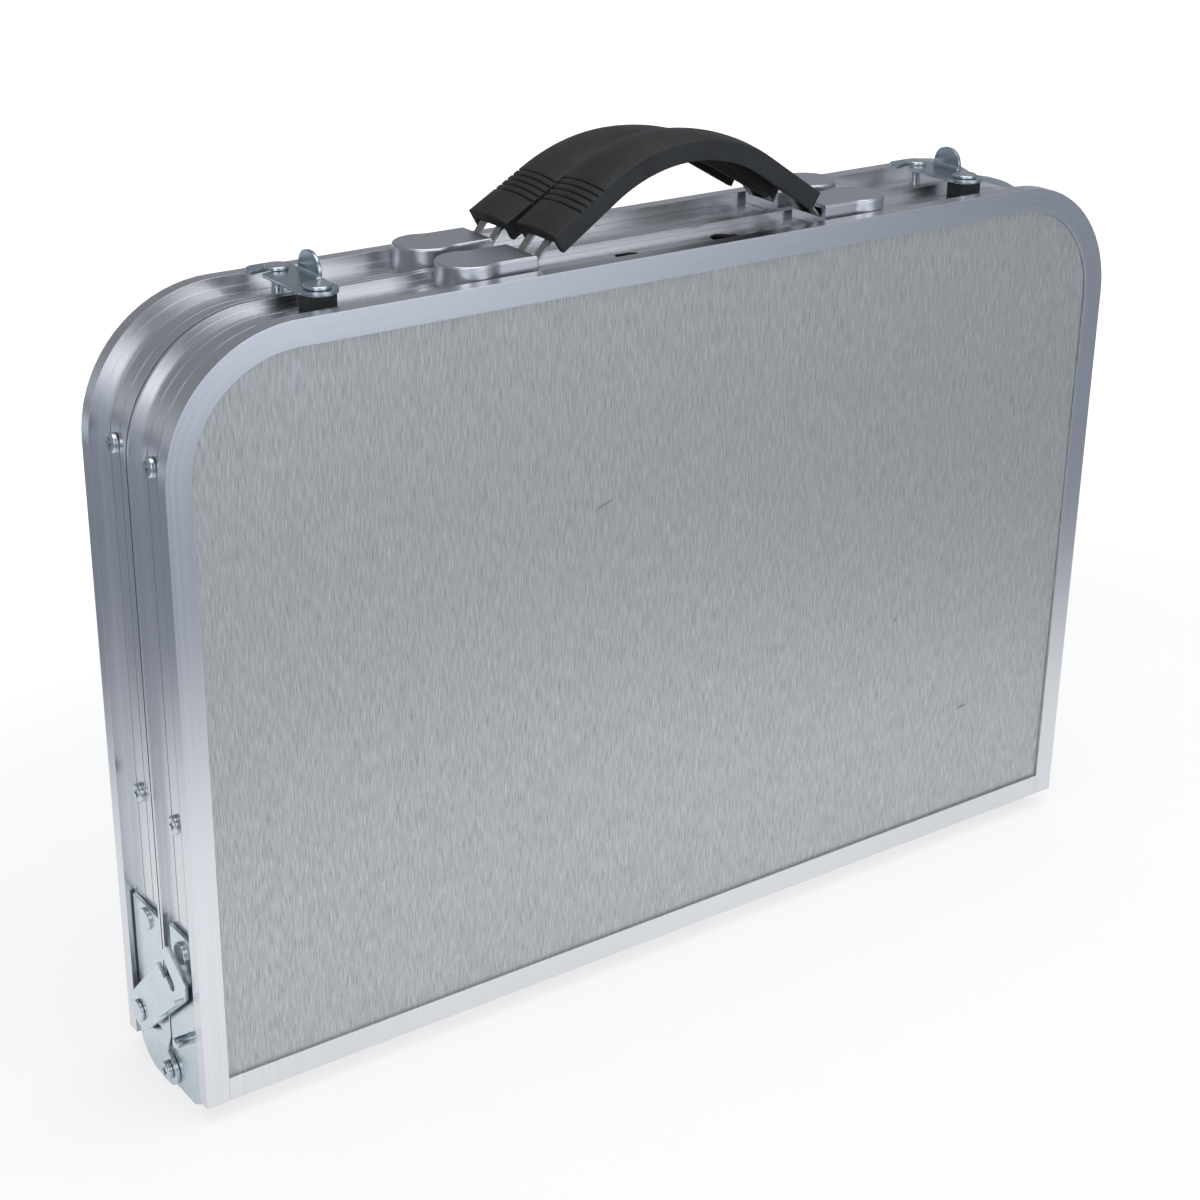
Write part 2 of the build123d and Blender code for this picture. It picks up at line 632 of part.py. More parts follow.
def handle_strip(slope, end_z):
    """Spring-steel strip inside the grip, with slotted ends that ride in the caps."""
    strip = along_arch(Pos(-GRIP_SIDE / 2, 0) * Rectangle(STRIP_T, STRIP_W), slope, end_z)
    tail, start_x = strip_tail(slope, end_z)
    slot = block(start_x - STRIP_T, STRIP_SLOT_END, CHAN_Y - STRIP_SLOT_W / 2, CHAN_Y + STRIP_SLOT_W / 2,
                 FLOOR_Z, TOP_Z + GRIP_SIDE * 2)
    for end in both_ends(tail):
        strip += end
    for cut in both_ends(slot):
        strip -= cut
    return strip


def leg_axle():
    """Cross bar that the two legs of one half turn on, between the upper screws."""
    half = WEB_X - AXLE_END_GAP
    axle = rod_x(CHAN_Y, AXLE_Z, AXLE_D / 2, -half, half)
    for hole in both_ends(rod_x(CHAN_Y, AXLE_Z, SCREW_D / 2 + FIT, half - SCREW_D * 2 - AXLE_END_GAP, half)):
        axle -= hole
    return axle


def leg_tube(x):
    """Outer leg tube, crossed by the axle near its upper end."""
    low = AXLE_Z - LEG_L
    tube = rod_z(x, CHAN_Y, LEG_D / 2, low, AXLE_Z + LEG_HEAD)
    tube -= rod_z(x, CHAN_Y, LEG_D / 2 - LEG_WALL, low, AXLE_Z + LEG_HEAD)
    return tube - rod_x(CHAN_Y, AXLE_Z, AXLE_D / 2 + FIT, x - LEG_D, x + LEG_D)


def inner_leg(x):
    """Telescopic lower tube of one leg."""
    top = AXLE_Z - INNER_TOP
    tube = rod_z(x, CHAN_Y, INNER_D / 2, top - INNER_L, top)
    return tube - rod_z(x, CHAN_Y, INNER_D / 2 - INNER_WALL, top - INNER_L, top)


def leg_foot(x):
    """Rubber foot pushed over the end of the inner tube."""
    socket_top = AXLE_Z - INNER_TOP - INNER_L + FOOT_SOCKET
    foot = rod_z(x, CHAN_Y, FOOT_D / 2, socket_top - FOOT_H, socket_top)
    foot = fillet(foot.edges().group_by(Axis.Z)[0], FOOT_D / 12)
    return foot - rod_z(x, CHAN_Y, INNER_D / 2 + FIT, socket_top - FOOT_SOCKET, socket_top)


def clip_ring(x):
    """Open ring round a stowed leg, with its mouth towards the seam."""
    inner = LEG_D / 2 + SHEET_GAP
    outer = inner + CLIP_T
    z0 = RAIL_Z + LOWER_SCREW_Z - CLIP_H / 2
    z1 = z0 + CLIP_H
    ring = rod_z(x, CHAN_Y, outer, z0, z1) - rod_z(x, CHAN_Y, inner, z0, z1)
    return ring - block(x - outer, x + outer, CHAN_Y - outer, CHAN_Y, z0, z1)


def clip_front():
    """Clip carried on the lower side screw, for the legs next to the frame."""
    x = LEG_X_FRONT
    z = RAIL_Z + LOWER_SCREW_Z
    reach = x + LEG_D / 2 + SHEET_GAP + CLIP_T / 2
    arm = block(reach, WEB_X - SHEET_GAP, CHAN_Y - CLIP_ARM / 2, CHAN_Y + CLIP_ARM / 2,
                z - CLIP_H / 2, z + CLIP_H / 2)
    hole = rod_x(CHAN_Y, z, SCREW_D / 2 + FIT, WEB_X - SHEET_GAP * 2 - NUT_PLATE_T, WEB_X)
    return clip_ring(x) + arm - hole


def clip_rear():
    """Clip carried on the panel, for the legs that stow further in."""
    x = LEG_X_REAR
    z = RAIL_Z + LOWER_SCREW_Z
    reach = CHAN_Y + LEG_D / 2 + SHEET_GAP + CLIP_T / 2
    return clip_ring(x) + block(x - CLIP_ARM / 2, x + CLIP_ARM / 2, reach, PANEL_IN_Y,
                                z - CLIP_H / 2, z + CLIP_H / 2)


def nut_plate():
    """Threaded plate behind the lower side screw of the rear half."""
    z = RAIL_Z + LOWER_SCREW_Z
    x1 = WEB_X - SHEET_GAP
    plate = block(x1 - NUT_PLATE_T, x1, CHAN_Y - NUT_PLATE / 2, CHAN_Y + NUT_PLATE / 2,
                  z - NUT_PLATE / 2, z + NUT_PLATE / 2)
    return plate - rod_x(CHAN_Y, z, SCREW_D / 2 + FIT, x1 - NUT_PLATE_T, x1)


def top_openings(bow):
    """Round hole and short slot through the front channel, under the grip."""
    bow -= rod_z(TOP_HOLE_X, CHAN_Y, TOP_HOLE_D / 2, WEB_Z, FLOOR_Z)
    slot = Pos(TOP_SLOT_X, CHAN_Y) * SlotOverall(TOP_SLOT_L, TOP_SLOT_W)
    return bow - upward(slot, WEB_Z, FLOOR_Z)


def save(name, *shapes):
    solids = [solid for shape in shapes for solid in shape.solids()]
    shape = solids[0] if len(solids) == 1 else Compound(children=solids)
    export_step(shape, f"parts/{name}.step")


def save_both_halves(name, *shapes):
    save(f"front_{name}", *[to_front(shape) for shape in shapes])
    save(f"rear_{name}", *shapes)


def save_left_and_right(name, shape):
    save(f"{name}_left", to_left(shape))
    save(f"{name}_right", shape)


os.makedirs("parts", exist_ok=True)

bow = frame_bow()
rear_bow = bow
for hole in both_ends(rod_x(LEVER_Y, LEVER_AXIS_Z, PIVOT_D / 2 + FIT, WEB_X, FLOOR_X)):
    rear_bow -= hole
front_bow = top_openings(bow)
for hole in both_ends(rod_x(LEVER_Y, LOCK_AXIS_Z, LOCK_PIN_D / 2 + FIT, WEB_X, FLOOR_X)):
    front_bow -= hole
save("front_frame_bow", to_front(front_bow))
save("rear_frame_bow", rear_bow)
save_both_halves("bottom_rail", bottom_rail())
save_both_halves("panel", panel())
save_both_halves("corner_brackets", *both_ends(corner_bracket()))
save_both_halves("side_screws", *side_screws())

save_left_and_right("front_hinge_plate", front_hinge_plate())
save_left_and_right("rear_hinge_plate", rear_hinge_plate())
save_both_halves("hinge_rivets", *both_ends(plate_rivet()))
save("hinge_pivot_screws", *both_ends(pivot_screw()))
save("lock_pins", *both_ends(lock_pin()))
save("lock_lever_rivets", *both_ends(lever_rivet()))
save_left_and_right("lock_lever", lock_lever())

latch_places = {"left": Pos(-LATCH_X, -CHAN_Y, 0), "right": Pos(LATCH_X, -CHAN_Y, 0)}
for name, place in latch_places.items():
    save(f"latch_{name}", place * latch_plate())
    save(f"latch_block_{name}", place * latch_block())
save("latch_rivets", *[place * latch_rivet() for place in latch_places.values()])
save("latch_studs", *[Pos(sign * LATCH_X, CHAN_Y, 0) * latch_stud() for sign in (-1, 1)])

cap = handle_cap()
save_left_and_right("front_handle_cap", to_front(cap))
save_left_and_right("rear_handle_cap", cap)
save_both_halves("cap_screws", *cap_screws())
save("front_grip", to_front(grip(GRIP_SLOPE_FRONT, GRIP_END_FRONT)))
save("rear_grip", grip(GRIP_SLOPE_REAR, GRIP_END_REAR))
save("front_handle_strip", to_front(handle_strip(GRIP_SLOPE_FRONT, GRIP_END_FRONT)))
save("rear_handle_strip", handle_strip(GRIP_SLOPE_REAR, GRIP_END_REAR))

save_both_halves("leg_axle", leg_axle())
save_left_and_right("front_leg", to_front(leg_tube(LEG_X_FRONT)))
save_left_and_right("rear_leg", leg_tube(LEG_X_REAR))
save_left_and_right("front_inner_leg", to_front(inner_leg(LEG_X_FRONT)))
save_left_and_right("rear_inner_leg", inner_leg(LEG_X_REAR))
save_left_and_right("front_foot", to_front(leg_foot(LEG_X_FRONT)))
save_left_and_right("rear_foot", leg_foot(LEG_X_REAR))
save("front_leg_clips", *both_ends(to_front(clip_front())))
save("rear_leg_clips", *both_ends(clip_rear()))
save("rear_nut_plates", *both_ends(nut_plate()))
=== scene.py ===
import math

import bmesh
import bpy
from mathutils import Matrix, Vector

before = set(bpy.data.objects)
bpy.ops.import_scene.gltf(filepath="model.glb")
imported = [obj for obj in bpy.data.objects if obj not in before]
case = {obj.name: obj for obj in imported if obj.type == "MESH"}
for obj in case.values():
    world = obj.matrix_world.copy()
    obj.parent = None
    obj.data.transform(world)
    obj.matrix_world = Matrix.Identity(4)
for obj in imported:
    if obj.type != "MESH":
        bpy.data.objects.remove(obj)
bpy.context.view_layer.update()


# The room: pale walls under a darker ceiling, brightest low down in front of the case. Bright
# metal mirrors them, the camera sees plain white, and an even fill lights the rest.
room_white = (1.0, 1.0, 1.0, 1.0)
room_cool = (0.94, 0.985, 1.06, 1.0)
room_fill_color = (0.92, 0.95, 1.0, 1.0)
room_fill = 0.50
wall_tone = 0.48
ceiling_tone = 0.26
wall_foot = 0.03
wall_head = 0.32
front_wall_tone = 0.55
front_wall_full = -0.85
front_wall_end = -0.40


def math_node(nodes, links, operation, first, second=0.0):
    step = nodes.new("ShaderNodeMath")
    step.operation = operation
    for socket, value in zip(step.inputs, (first, second)):
        if isinstance(value, (int, float)):
            socket.default_value = value
        else:
            links.new(value, socket)
    return step.outputs[0]


def ramp_node(nodes, links, value, start, end, low, high):
    ramp = nodes.new("ShaderNodeMapRange")
    ramp.interpolation_type = "SMOOTHSTEP"
    ramp.inputs["From Min"].default_value = start
    ramp.inputs["From Max"].default_value = end
    ramp.inputs["To Min"].default_value = low
    ramp.inputs["To Max"].default_value = high
    links.new(value, ramp.inputs["Value"])
    return ramp.outputs["Result"]


def color_mix(nodes, links, factor, first, second):
    mix = nodes.new("ShaderNodeMix")
    mix.data_type = "RGBA"
    mix.inputs["A"].default_value = first
    mix.inputs["B"].default_value = second
    links.new(factor, mix.inputs["Factor"])
    return mix


def looked_at(nodes, links, rays):
    to_camera = rays.outputs["Is Camera Ray"]
    through_glass = rays.outputs["Is Transmission Ray"]
    return math_node(nodes, links, "MAXIMUM", to_camera, through_glass)


world = bpy.data.worlds.new("studio_room")
bpy.context.scene.world = world
world.use_nodes = True
room_nodes = world.node_tree.nodes
room_links = world.node_tree.links
fill = room_nodes["Background"]
fill.inputs["Color"].default_value = room_fill_color
fill.inputs["Strength"].default_value = room_fill
card = room_nodes.new("ShaderNodeBackground")
direction = room_nodes.new("ShaderNodeTexCoord")
heights = room_nodes.new("ShaderNodeSeparateXYZ")
room_links.new(direction.outputs["Generated"], heights.inputs[0])
room_rays = room_nodes.new("ShaderNodeLightPath")
room_looked_at = looked_at(room_nodes, room_links, room_rays)
height = heights.outputs["Z"]
walls = ramp_node(room_nodes, room_links, height, wall_foot, wall_head, wall_tone, ceiling_tone)
front_wall = ramp_node(
    room_nodes,
    room_links,
    heights.outputs["Y"],
    front_wall_full,
    front_wall_end,
    front_wall_tone,
    0.0,
)
front_low = ramp_node(room_nodes, room_links, height, wall_foot, wall_head, 1.0, 0.0)
front_wall = math_node(room_nodes, room_links, "MULTIPLY", front_wall, front_low)
walls = math_node(room_nodes, room_links, "ADD", walls, front_wall)
card_color = color_mix(room_nodes, room_links, room_looked_at, room_cool, room_white)
room_links.new(card_color.outputs["Result"], card.inputs["Color"])
card_glow = math_node(room_nodes, room_links, "MAXIMUM", room_looked_at, walls)
room_links.new(card_glow, card.inputs["Strength"])
room_mirrored = room_rays.outputs["Is Glossy Ray"]
room_seen = math_node(room_nodes, room_links, "MAXIMUM", room_looked_at, room_mirrored)
room_mix = room_nodes.new("ShaderNodeMixShader")
room_links.new(room_seen, room_mix.inputs[0])
room_links.new(fill.outputs[0], room_mix.inputs[1])
room_links.new(card.outputs[0], room_mix.inputs[2])
room_links.new(room_mix.outputs[0], room_nodes["World Output"].inputs["Surface"])


# The floor: thin white paper. The camera sees it run out to white, and the opened half of the
# case through it. Bright metal sees the paper near the case, the room's floor beyond it, and
# a pale card that lies further out, in front and behind.
floor_size = 12.0
room_floor = (0.27, 0.295, 0.35, 1.0)
paper_white = (0.80, 0.80, 0.80, 1.0)
paper_rough = 0.9
paper_thin = 0.6
paper_oval = (0.6, 1.0, 1.0)
paper_edge = 0.28
paper_gone = 0.62
paper_glow = 0.30
right_start = 0.1
right_end = 0.6
right_share = 0.3
white_start = 0.35
white_full = 0.9
white_near_case = 0.22
low_card_tone = 0.85
low_card_start = 1.05
low_card_full = 1.25
low_card_side = 0.4
low_card_end = 1.7


def new_material(name):
    material = bpy.data.materials.new(name)
    material.use_nodes = True
    nodes = material.node_tree.nodes
    return material, nodes, material.node_tree.links, nodes["Principled BSDF"]


def object_place(nodes):
    return nodes.new("ShaderNodeTexCoord").outputs["Object"]


def stretched_place(nodes, links, scale):
    mapping = nodes.new("ShaderNodeMapping")
    mapping.inputs["Scale"].default_value = scale
    links.new(object_place(nodes), mapping.inputs["Vector"])
    return mapping.outputs["Vector"]


def length_node(nodes, links, vector):
    length = nodes.new("ShaderNodeVectorMath")
    length.operation = "LENGTH"
    links.new(vector, length.inputs[0])
    return length.outputs["Value"]


floor_mesh = bpy.data.meshes.new("floor")
bm = bmesh.new()
bmesh.ops.create_grid(bm, x_segments=1, y_segments=1, size=floor_size / 2)
bm.to_mesh(floor_mesh)
bm.free()
floor = bpy.data.objects.new("floor", floor_mesh)
bpy.context.collection.objects.link(floor)
floor_paper, paper_nodes, paper_links, paper = new_material("floor_paper")
paper.inputs["Roughness"].default_value = paper_rough
paper_place = stretched_place(paper_nodes, paper_links, paper_oval)
from_case = length_node(paper_nodes, paper_links, paper_place)
across = paper_nodes.new("ShaderNodeSeparateXYZ")
paper_links.new(object_place(paper_nodes), across.inputs[0])
side_way = math_node(paper_nodes, paper_links, "ABSOLUTE", across.outputs["X"])
depth_way = math_node(paper_nodes, paper_links, "ABSOLUTE", across.outputs["Y"])
low_card = ramp_node(
    paper_nodes, paper_links, depth_way, low_card_start, low_card_full, 0.0, low_card_tone
)
card_end = ramp_node(
    paper_nodes, paper_links, side_way, low_card_side, low_card_end, 1.0, 0.0
)
low_card = math_node(paper_nodes, paper_links, "MULTIPLY", low_card, card_end)
paper_rays = paper_nodes.new("ShaderNodeLightPath")
to_camera = ramp_node(
    paper_nodes, paper_links, from_case, white_start, white_full, white_near_case, 1.0
)
to_metal = ramp_node(
    paper_nodes, paper_links, from_case, paper_edge, paper_gone, paper_glow, 0.0
)
paper_end = ramp_node(
    paper_nodes, paper_links, across.outputs["X"], right_start, right_end, 1.0, right_share
)
to_metal = math_node(paper_nodes, paper_links, "MULTIPLY", to_metal, paper_end)
to_metal = math_node(paper_nodes, paper_links, "ADD", to_metal, low_card)
paper_seen = looked_at(paper_nodes, paper_links, paper_rays)
camera_glow = math_node(paper_nodes, paper_links, "MULTIPLY", paper_seen, to_camera)
paper_mirrored = paper_rays.outputs["Is Glossy Ray"]
metal_glow = math_node(paper_nodes, paper_links, "MULTIPLY", paper_mirrored, to_metal)
whole_glow = math_node(paper_nodes, paper_links, "ADD", camera_glow, metal_glow)
paper_links.new(whole_glow, paper.inputs["Emission Strength"])
beyond = ramp_node(paper_nodes, paper_links, from_case, paper_edge, paper_gone, 0.0, 1.0)
seen_off_paper = math_node(paper_nodes, paper_links, "MULTIPLY", paper_mirrored, beyond)
off_paper = color_mix(paper_nodes, paper_links, seen_off_paper, paper_white, room_floor)
paper_links.new(off_paper.outputs["Result"], paper.inputs["Base Color"])
glow_color = color_mix(paper_nodes, paper_links, seen_off_paper, room_white, room_cool)
paper_links.new(glow_color.outputs["Result"], paper.inputs["Emission Color"])
see_through = paper_nodes.new("ShaderNodeBsdfTransparent")
thin_paper = paper_nodes.new("ShaderNodeMixShader")
seen_through = math_node(
    paper_nodes, paper_links, "MULTIPLY", paper_rays.outputs["Is Camera Ray"], paper_thin
)
paper_links.new(seen_through, thin_paper.inputs[0])
paper_links.new(paper.outputs[0], thin_paper.inputs[1])
paper_links.new(see_through.outputs[0], thin_paper.inputs[2])
paper_links.new(thin_paper.outputs[0], paper_nodes["Material Output"].inputs["Surface"])
floor_mesh.materials.append(floor_paper)


# Three soft boxes: a large one overhead, one beside the camera and one in front, all turned
# to the middle of the case.
light_aim = Vector((0.0, 0.0, 0.22))


def soft_box(name, place, size, power):
    lamp = bpy.data.lights.new(name, "AREA")
    lamp.shape = "SQUARE"
    lamp.size = size
    lamp.energy = power
    box = bpy.data.objects.new(name, lamp)
    box.location = place
    aim = light_aim - Vector(place)
    box.rotation_euler = aim.to_track_quat("-Z", "Y").to_euler()
    bpy.context.collection.objects.link(box)


soft_box("overhead_box", place=(0.2, -0.3, 2.4), size=2.2, power=28.0)
soft_box("camera_box", place=(-1.55, -1.75, 1.35), size=1.2, power=9.0)
soft_box("front_box", place=(0.9, -2.4, 1.0), size=1.6, power=9.0)

bpy.context.scene.view_settings.view_transform = "Standard"


# The camera stands to the left of the front face, looking down on it. Its place, turn and
# lens were fitted to the frame's corners in the photograph.
camera_place = Vector((-0.69644, -0.91927, 0.70589))
camera_azimuth = math.radians(-36.039)
camera_elevation = math.radians(23.674)
camera_roll = math.radians(0.824)
camera_lens = 67.997
camera_sensor = 36.0
level = math.cos(camera_elevation)
backward_x = math.sin(camera_azimuth) * level
backward_y = -math.cos(camera_azimuth) * level
backward = Vector((backward_x, backward_y, math.sin(camera_elevation)))
right = Vector((0.0, 0.0, 1.0)).cross(backward).normalized()
upward = backward.cross(right)
turned_right = right * math.cos(camera_roll) + upward * math.sin(camera_roll)
turned_up = upward * math.cos(camera_roll) - right * math.sin(camera_roll)
axes = Matrix((turned_right, turned_up, backward)).transposed().to_4x4()
camera_data = bpy.data.cameras.new("camera")
camera_data.sensor_width = camera_sensor
camera_data.lens = camera_lens
camera = bpy.data.objects.new("camera", camera_data)
camera.matrix_world = Matrix.Translation(camera_place) @ axes
bpy.context.collection.objects.link(camera)
bpy.context.scene.camera = camera


# Frame bows and bottom rails: satin anodised extrusions, bent round the upper corners.
# Fine die lines follow the length of the metal, round the corners too, and the edges are
# broken by a hair so that they catch the light.
frame_half_width = 0.300
frame_top = 0.411
frame_corner = 0.070
frame_tone = (0.71, 0.722, 0.75)
frame_polish = (0.24, 0.27)
frame_edge = 0.0003
die_lines_across = 1500.0
die_lines_inward = 700.0
die_lines_along = 4.0
die_lines_contrast = 0.03
edge_samples = 12
grain_low = 0.3
grain_high = 0.7


def finish_node(name, material):
    mesh = case[name].data
    mesh.materials.clear()
    mesh.materials.append(material)


def broken_edge(nodes, radius):
    edge = nodes.new("ShaderNodeBevel")
    edge.samples = edge_samples
    edge.inputs["Radius"].default_value = radius
    return edge.outputs["Normal"]


def noise_node(nodes, links, vector, scale, detail):
    noise = nodes.new("ShaderNodeTexNoise")
    noise.inputs["Scale"].default_value = scale
    noise.inputs["Detail"].default_value = detail
    links.new(vector, noise.inputs["Vector"])
    return noise.outputs["Fac"]


def tone_node(nodes, links, value, start, end, dark, light):
    tones = nodes.new("ShaderNodeValToRGB")
    tones.color_ramp.elements[0].position = start
    tones.color_ramp.elements[0].color = (*dark, 1.0)
    tones.color_ramp.elements[1].position = end
    tones.color_ramp.elements[1].color = (*light, 1.0)
    links.new(value, tones.inputs["Fac"])
    return tones.outputs["Color"]


def tone_pair(tone, contrast):
    return [tuple(c * share for c in tone) for share in (1.0 - contrast, 1.0 + contrast)]


def metal_grain(nodes, links, metal, grain, tones, polish):
    color = tone_node(nodes, links, grain, grain_low, grain_high, *tones)
    links.new(color, metal.inputs["Base Color"])
    roughness = ramp_node(nodes, links, grain, grain_low, grain_high, *polish)
    links.new(roughness, metal.inputs["Roughness"])
    metal.inputs["Metallic"].default_value = 1.0


frame_satin, satin_nodes, satin_links, satin = new_material("frame_satin")
parts = satin_nodes.new("ShaderNodeSeparateXYZ")
satin_links.new(object_place(satin_nodes), parts.inputs[0])
straight_x = frame_half_width - frame_corner
straight_z = frame_top - frame_corner
out_x = math_node(satin_nodes, satin_links, "ABSOLUTE", parts.outputs["X"])
out_x = math_node(satin_nodes, satin_links, "SUBTRACT", out_x, straight_x)
out_x = math_node(satin_nodes, satin_links, "MAXIMUM", out_x, 0.0)
out_z = math_node(satin_nodes, satin_links, "SUBTRACT", parts.outputs["Z"], straight_z)
out_z = math_node(satin_nodes, satin_links, "MAXIMUM", out_z, 0.0)
corner = satin_nodes.new("ShaderNodeCombineXYZ")
satin_links.new(out_x, corner.inputs["X"])
satin_links.new(out_z, corner.inputs["Y"])
inward = length_node(satin_nodes, satin_links, corner.outputs[0])
along = math_node(satin_nodes, satin_links, "ADD", parts.outputs["X"], parts.outputs["Z"])
lines = satin_nodes.new("ShaderNodeCombineXYZ")
line_ways = (
    ("X", inward, die_lines_inward),
    ("Y", parts.outputs["Y"], die_lines_across),
    ("Z", along, die_lines_along),
)
for axis, way, count in line_ways:
    line = math_node(satin_nodes, satin_links, "MULTIPLY", way, count)
    satin_links.new(line, lines.inputs[axis])
die_lines = noise_node(satin_nodes, satin_links, lines.outputs[0], scale=1.0, detail=2.0)
frame_tones = tone_pair(frame_tone, die_lines_contrast)
metal_grain(satin_nodes, satin_links, satin, die_lines, frame_tones, frame_polish)
satin_links.new(broken_edge(satin_nodes, frame_edge), satin.inputs["Normal"])
for half in ("front", "rear"):
    finish_node(f"{half}_frame_bow", frame_satin)
    finish_node(f"{half}_bottom_rail", frame_satin)


# Panels: fibreboard faced with a brushed metal foil, slid between the flange and ledge of
# each frame. The brushing is short and upright, and the front face has three old scuffs.
panel_dark = (0.30, 0.315, 0.318)
panel_light = (0.60, 0.625, 0.625)
panel_polish = (0.46, 0.36)
panel_metallic = 0.6
panel_brushing = (4000.0, 4000.0, 120.0)
scuff_tone = (0.20, 0.20, 0.205, 1.0)
scuff_y = -0.0432
scuff_deep = 0.002
scuff_full = 0.6
scuff_cover = 0.75
panel_foil, foil_nodes, foil_links, foil = new_material("panel_foil")
foil_place = stretched_place(foil_nodes, foil_links, panel_brushing)
streaks = noise_node(foil_nodes, foil_links, foil_place, scale=1.0, detail=2.0)
foil_color = tone_node(
    foil_nodes, foil_links, streaks, grain_low, grain_high, panel_dark, panel_light
)
panel_scuffs = (
    (-0.0567, 0.2840, -19.0, 0.0085, 0.0008),
    (0.2151, 0.0927, -8.0, 0.0050, 0.0012),
    (0.1542, 0.1661, -40.0, 0.0022, 0.0010),
)
scuffs = 0.0
for scuff_x, scuff_z, turn, long, thin in panel_scuffs:
    around = foil_nodes.new("ShaderNodeMapping")
    around.vector_type = "TEXTURE"
    around.inputs["Location"].default_value = (scuff_x, scuff_y, scuff_z)
    around.inputs["Rotation"].default_value = (0.0, math.radians(turn), 0.0)
    around.inputs["Scale"].default_value = (long, scuff_deep, thin)
    foil_links.new(object_place(foil_nodes), around.inputs["Vector"])
    mark = foil_nodes.new("ShaderNodeTexGradient")
    mark.gradient_type = "SPHERICAL"
    foil_links.new(around.outputs["Vector"], mark.inputs["Vector"])
    scuffs = math_node(foil_nodes, foil_links, "MAXIMUM", scuffs, mark.outputs["Fac"])
scuffed = ramp_node(foil_nodes, foil_links, scuffs, 0.0, scuff_full, 0.0, scuff_cover)
worn = color_mix(foil_nodes, foil_links, scuffed, scuff_tone, scuff_tone)
foil_links.new(foil_color, worn.inputs["A"])
foil_links.new(worn.outputs["Result"], foil.inputs["Base Color"])
foil_polish = ramp_node(
    foil_nodes, foil_links, streaks, grain_low, grain_high, *panel_polish
)
foil_links.new(foil_polish, foil.inputs["Roughness"])
foil.inputs["Metallic"].default_value = panel_metallic
for half in ("front", "rear"):
    finish_node(f"{half}_panel", panel_foil)


# Hinge plates, lock levers and latches: pressed steel with bright zinc plate, riveted in
# the channels. The plating is faintly cloudy, its edges are rolled over, and the latches
# have gone duller than the plates.
plate_tone = (0.62, 0.69, 0.73)
latch_tone = (0.43, 0.50, 0.55)
plating_polish = (0.22, 0.27)
plating_edge = 0.0008
plating_clouds = 160.0
plating_contrast = 0.05


def zinc_finish(name, tone):
    material, nodes, links, zinc = new_material(name)
    clouds = noise_node(nodes, links, object_place(nodes), plating_clouds, detail=3.0)
    tones = tone_pair(tone, plating_contrast)
    metal_grain(nodes, links, zinc, clouds, tones, plating_polish)
    links.new(broken_edge(nodes, plating_edge), zinc.inputs["Normal"])
    return material


plate_zinc = zinc_finish("plate_zinc", plate_tone)
latch_zinc = zinc_finish("latch_zinc", latch_tone)
for side in ("left", "right"):
    finish_node(f"latch_{side}", latch_zinc)
    finish_node(f"lock_lever_{side}", plate_zinc)
    for half in ("front", "rear"):
        finish_node(f"{half}_hinge_plate_{side}", plate_zinc)
for name in ("front_corner_brackets", "rear_corner_brackets", "rear_nut_plates"):
    finish_node(name, plate_zinc)


# Screws, rivets, studs and pins: turned and headed steel, plated like the plates. Their
# edges are only just broken, because the heads are small.
fixing_tones = ((0.58, 0.63, 0.66), (0.66, 0.70, 0.73))
fixing_polish = (0.21, 0.26)
fixing_edge = 0.0002
fixing_grain = 500.0
fixing_steel, fixing_nodes, fixing_links, fixing = new_material("fixing_steel")
fixing_place = object_place(fixing_nodes)
turning = noise_node(fixing_nodes, fixing_links, fixing_place, fixing_grain, detail=2.0)
metal_grain(fixing_nodes, fixing_links, fixing, turning, fixing_tones, fixing_polish)
fixing_links.new(broken_edge(fixing_nodes, fixing_edge), fixing.inputs["Normal"])
fixings = ["hinge_pivot_screws", "lock_pins", "lock_lever_rivets", "latch_rivets", "latch_studs"]
for half in ("front", "rear"):
    fixings += [f"{half}_side_screws", f"{half}_hinge_rivets", f"{half}_cap_screws"]
for name in fixings:
    finish_node(name, fixing_steel)


# Handle strips: bare spring steel under the grips. Their darker tone is partly the bare steel's
# own and partly a painted reflection of the black grips. Its ends run out of the grips in two
# prongs, into slots in the caps.
bare_steel_and_painted_shade_tones = ((0.34, 0.34, 0.33), (0.44, 0.44, 0.43))
spring_polish = (0.28, 0.36)
spring_rolling = (60.0, 900.0, 900.0)
spring_steel, spring_nodes, spring_links, spring = new_material("spring_steel")
spring_place = stretched_place(spring_nodes, spring_links, spring_rolling)
rolled = noise_node(spring_nodes, spring_links, spring_place, scale=1.0, detail=2.0)
# the strip's dark tones include a painted reflection of the black grips
metal_grain(spring_nodes, spring_links, spring, rolled, bare_steel_and_painted_shade_tones, spring_polish)
for half in ("front", "rear"):
    finish_node(f"{half}_handle_strip", spring_steel)


# Handle caps: satin castings over the ends of the handle strips, screwed from inside.
# Their grain is fine, and their edges are softer than those of the frame.
cap_tones = ((0.54, 0.56, 0.60), (0.59, 0.61, 0.655))
cap_polish = (0.30, 0.36)
cap_edge = 0.0008
cap_grain = 1400.0
cap_casting, cast_nodes, cast_links, cast = new_material("cap_casting")
grain = noise_node(cast_nodes, cast_links, object_place(cast_nodes), cap_grain, detail=3.0)
metal_grain(cast_nodes, cast_links, cast, grain, cap_tones, cap_polish)
cast_links.new(broken_edge(cast_nodes, cap_edge), cast.inputs["Normal"])
for half in ("front", "rear"):
    for side in ("left", "right"):
        finish_node(f"{half}_handle_cap_{side}", cap_casting)


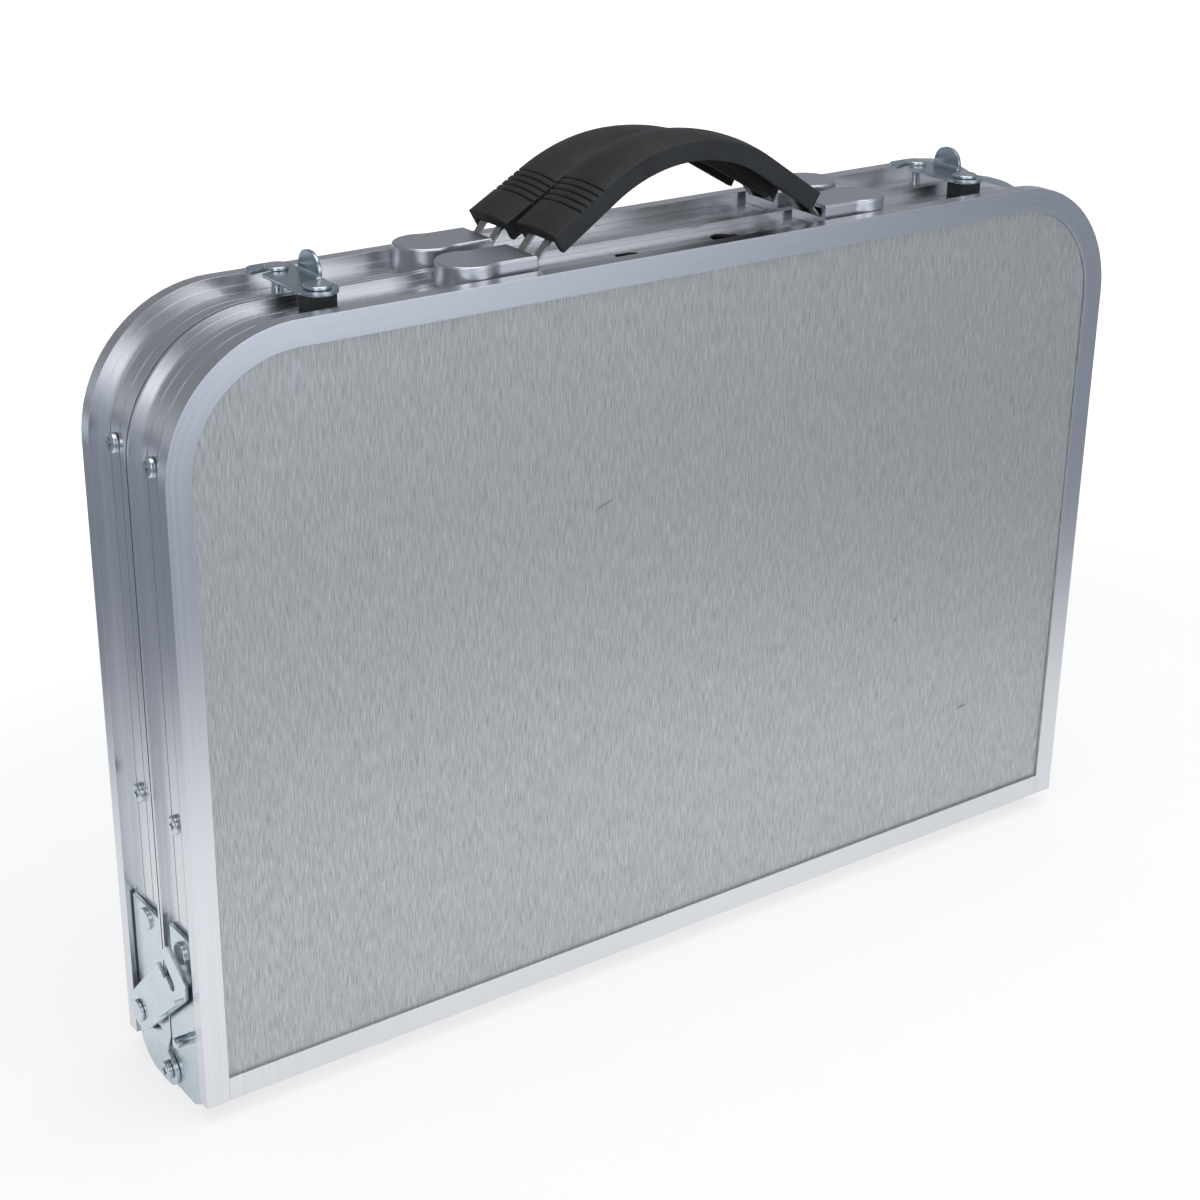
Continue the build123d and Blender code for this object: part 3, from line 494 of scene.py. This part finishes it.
# Grips, latch blocks and leg clips: black mouldings with a fine sparked grain, here and
# there a little paler and smoother from handling.
moulding_black = (0.0075, 0.0092, 0.0100)
moulding_worn = (0.0135, 0.0160, 0.0170)
moulding_polish = (0.60, 0.50)
moulding_edge = 0.0012
handling_size = 60.0
handling_low = 0.35
handling_high = 0.75
spark_grain = 1800.0
spark_strength = 0.25
spark_depth = 0.0002
black_moulding, black_nodes, black_links, black = new_material("black_moulding")
black_place = object_place(black_nodes)
spark = noise_node(black_nodes, black_links, black_place, spark_grain, detail=2.0)
handling = noise_node(black_nodes, black_links, black_place, handling_size, detail=3.0)
black_color = tone_node(
    black_nodes,
    black_links,
    handling,
    handling_low,
    handling_high,
    moulding_black,
    moulding_worn,
)
black_links.new(black_color, black.inputs["Base Color"])
black_polish = ramp_node(
    black_nodes, black_links, handling, grain_low, grain_high, *moulding_polish
)
black_links.new(black_polish, black.inputs["Roughness"])
pimples = black_nodes.new("ShaderNodeBump")
pimples.inputs["Strength"].default_value = spark_strength
pimples.inputs["Distance"].default_value = spark_depth
black_links.new(spark, pimples.inputs["Height"])
black_links.new(broken_edge(black_nodes, moulding_edge), pimples.inputs["Normal"])
black_links.new(pimples.outputs["Normal"], black.inputs["Normal"])
for half in ("front", "rear"):
    finish_node(f"{half}_grip", black_moulding)
    finish_node(f"{half}_leg_clips", black_moulding)
for side in ("left", "right"):
    finish_node(f"latch_block_{side}", black_moulding)


# Legs: drawn aluminium tubes on a plain axle, with rubber feet. The lines run along the
# draw, and show only when the case is open.
tube_tones = ((0.62, 0.63, 0.65), (0.74, 0.75, 0.77))
tube_polish = (0.22, 0.34)
tube_draw = (1500.0, 1500.0, 12.0)
rubber_dark = (0.016, 0.016, 0.017)
rubber_scuffed = (0.035, 0.034, 0.033)
rubber_rough = 0.75
rubber_grain = 220.0
rubber_high = 0.8
leg_tube, tube_nodes, tube_links, tube = new_material("leg_tube")
tube_place = stretched_place(tube_nodes, tube_links, tube_draw)
drawn = noise_node(tube_nodes, tube_links, tube_place, scale=1.0, detail=2.0)
metal_grain(tube_nodes, tube_links, tube, drawn, tube_tones, tube_polish)
foot_rubber, rubber_nodes, rubber_links, rubber = new_material("foot_rubber")
rubber_place = object_place(rubber_nodes)
scuffing = noise_node(rubber_nodes, rubber_links, rubber_place, rubber_grain, detail=3.0)
rubber_color = tone_node(
    rubber_nodes, rubber_links, scuffing, grain_low, rubber_high, rubber_dark, rubber_scuffed
)
rubber_links.new(rubber_color, rubber.inputs["Base Color"])
rubber.inputs["Roughness"].default_value = rubber_rough
for half in ("front", "rear"):
    finish_node(f"{half}_leg_axle", leg_tube)
    for side in ("left", "right"):
        finish_node(f"{half}_leg_{side}", leg_tube)
        finish_node(f"{half}_inner_leg_{side}", leg_tube)
        finish_node(f"{half}_foot_{side}", foot_rubber)
